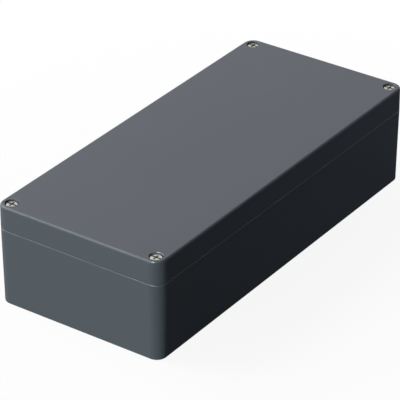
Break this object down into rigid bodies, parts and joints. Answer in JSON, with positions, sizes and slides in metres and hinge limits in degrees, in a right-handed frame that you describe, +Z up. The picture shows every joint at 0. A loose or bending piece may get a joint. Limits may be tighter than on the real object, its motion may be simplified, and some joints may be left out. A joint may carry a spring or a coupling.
{
  "type": "enclosure",
  "caption": "Rectangular die cast aluminium wall box with a flat screwed lid, cord seal, corner fixing channels, floor bosses and earth terminals.",
  "frame": {"origin": "middle of the underside, in the plane that lies on the wall or table", "axes": "+X across the box, +Y along its length, +Z up from the underside through the lid"},
  "size_m": [0.16, 0.36, 0.09],
  "materials": {
    "grey_powder_coat": "die cast aluminium with a semi-gloss grey powder coat",
    "seal_rubber": "matt black chloroprene cord",
    "stainless_steel": "turned stainless steel",
    "retainer_plastic": "natural polyamide",
    "plated_steel": "bright zinc plated steel",
    "clamp_brass": "bare pressed brass"
  },
  "bodies": {
    "base": {"base_housing": "grey_powder_coat"},
    "lid": {"lid_cover": "grey_powder_coat", "lid_gasket": "seal_rubber"},
    "screw_retainer_1": {"screw_retainer_1": "retainer_plastic"},
    "lid_screw_1": {"lid_screw_1": "stainless_steel"},
    "screw_retainer_2": {"screw_retainer_2": "retainer_plastic"},
    "lid_screw_2": {"lid_screw_2": "stainless_steel"},
    "screw_retainer_3": {"screw_retainer_3": "retainer_plastic"},
    "lid_screw_3": {"lid_screw_3": "stainless_steel"},
    "screw_retainer_4": {"screw_retainer_4": "retainer_plastic"},
    "lid_screw_4": {"lid_screw_4": "stainless_steel"},
    "base_earth_clamp": {"base_earth_clamp": "clamp_brass", "base_earth_spring_washer": "plated_steel"},
    "base_earth_screw": {"base_earth_screw": "plated_steel"},
    "lid_earth_clamp": {"lid_earth_clamp": "clamp_brass", "lid_earth_spring_washer": "plated_steel"},
    "lid_earth_screw": {"lid_earth_screw": "plated_steel"}
  },
  "joints": [
    {"name": "lid_lift", "type": "slide", "parent": "base", "child": "lid", "axis": [0, 0, 1], "range_m": [0, 0.1]},
    {"name": "screw_rise_1", "type": "slide", "parent": "lid", "child": "screw_retainer_1", "axis": [0, 0, 1], "range_m": [0, 0.008]},
    {"name": "screw_turn_1", "type": "hinge", "parent": "screw_retainer_1", "child": "lid_screw_1", "pos_m": [-0.0704, -0.1704, 0.0849], "axis": [0, 0, 1], "range_deg": [0, 2880]},
    {"name": "screw_rise_2", "type": "slide", "parent": "lid", "child": "screw_retainer_2", "axis": [0, 0, 1], "range_m": [0, 0.008]},
    {"name": "screw_turn_2", "type": "hinge", "parent": "screw_retainer_2", "child": "lid_screw_2", "pos_m": [0.0704, -0.1704, 0.0849], "axis": [0, 0, 1], "range_deg": [0, 2880]},
    {"name": "screw_rise_3", "type": "slide", "parent": "lid", "child": "screw_retainer_3", "axis": [0, 0, 1], "range_m": [0, 0.008]},
    {"name": "screw_turn_3", "type": "hinge", "parent": "screw_retainer_3", "child": "lid_screw_3", "pos_m": [0.0704, 0.1704, 0.0849], "axis": [0, 0, 1], "range_deg": [0, 2880]},
    {"name": "screw_rise_4", "type": "slide", "parent": "lid", "child": "screw_retainer_4", "axis": [0, 0, 1], "range_m": [0, 0.008]},
    {"name": "screw_turn_4", "type": "hinge", "parent": "screw_retainer_4", "child": "lid_screw_4", "pos_m": [-0.0704, 0.1704, 0.0849], "axis": [0, 0, 1], "range_deg": [0, 2880]},
    {"name": "base_earth_rise", "type": "slide", "parent": "base", "child": "base_earth_clamp", "axis": [0, 0, 1], "range_m": [0, 0.0024]},
    {"name": "base_earth_turn", "type": "hinge", "parent": "base_earth_clamp", "child": "base_earth_screw", "pos_m": [0, -0.148, 0.016], "axis": [0, 0, 1], "range_deg": [0, 1080]},
    {"name": "lid_earth_rise", "type": "slide", "parent": "lid", "child": "lid_earth_clamp", "axis": [0, 0, -1], "range_m": [0, 0.0024]},
    {"name": "lid_earth_turn", "type": "hinge", "parent": "lid_earth_clamp", "child": "lid_earth_screw", "pos_m": [0, 0.148, 0.0785], "axis": [0, 0, -1], "range_deg": [0, 1080]}
  ],
  "couplings": [
    {"joint": "screw_turn_1", "follows": "screw_rise_1", "rad_per_m": 6283.2},
    {"joint": "screw_turn_2", "follows": "screw_rise_2", "rad_per_m": 6283.2},
    {"joint": "screw_turn_3", "follows": "screw_rise_3", "rad_per_m": 6283.2},
    {"joint": "screw_turn_4", "follows": "screw_rise_4", "rad_per_m": 6283.2},
    {"joint": "base_earth_turn", "follows": "base_earth_rise", "rad_per_m": 7854},
    {"joint": "lid_earth_turn", "follows": "lid_earth_rise", "rad_per_m": 7854}
  ]
}
